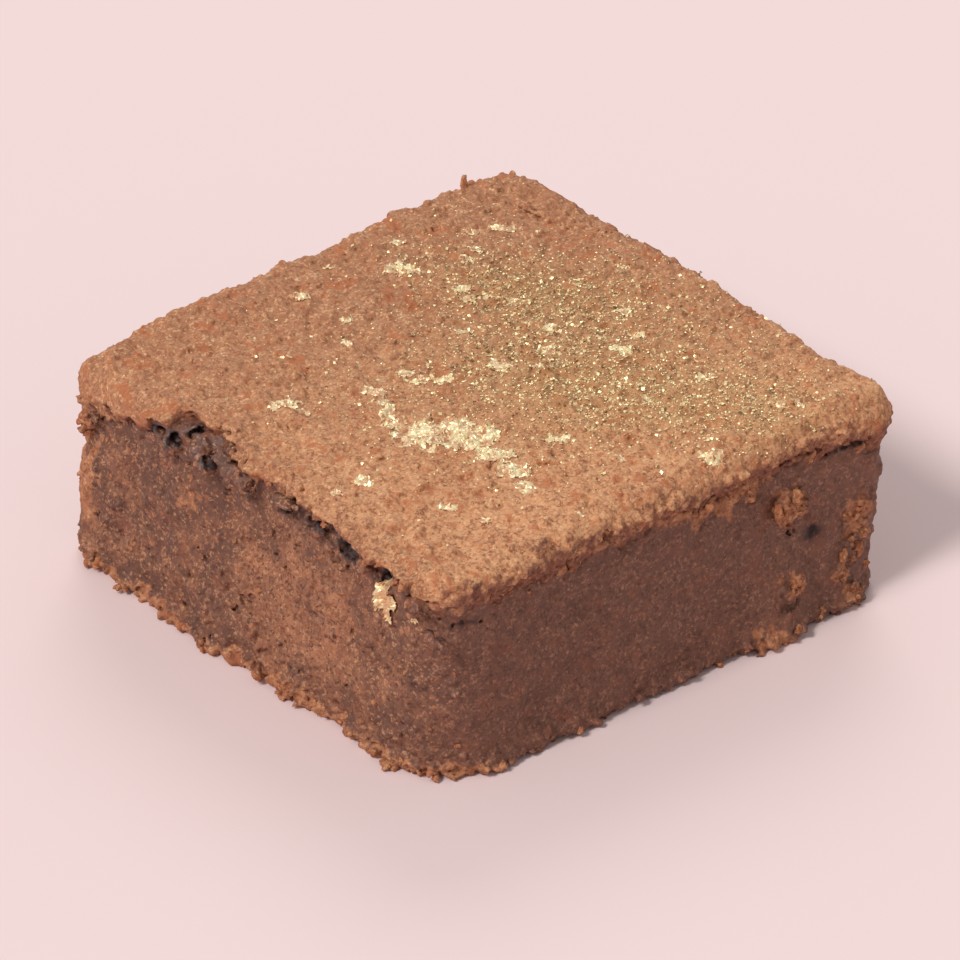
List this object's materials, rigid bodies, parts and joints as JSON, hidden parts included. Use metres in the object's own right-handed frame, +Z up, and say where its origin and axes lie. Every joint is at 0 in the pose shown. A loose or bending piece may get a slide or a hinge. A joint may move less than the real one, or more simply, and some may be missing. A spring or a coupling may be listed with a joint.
{
  "type": "chocolate brownie square",
  "caption": "Square of chocolate brownie with a baked crust over dense cut crumb and a flat base, sprinkled with gold leaf and gold dust.",
  "frame": {"origin": "middle of the flat base, under the middle of the box", "axes": "+Z up out of the crust; the cut face with the broken crust looks along -Y, and the face with the rolled-over crust looks along +X"},
  "size_m": [0.0686, 0.0678, 0.0267],
  "materials": {
    "crumb": "matt dense cut crumb, slightly moist in its hollows",
    "crust": "dry matt baked crust, finely grained",
    "gold_leaf": "crumpled bright metal leaf"
  },
  "bodies": {
    "root": {"brownie": "crumb"}
  },
  "joints": []
}
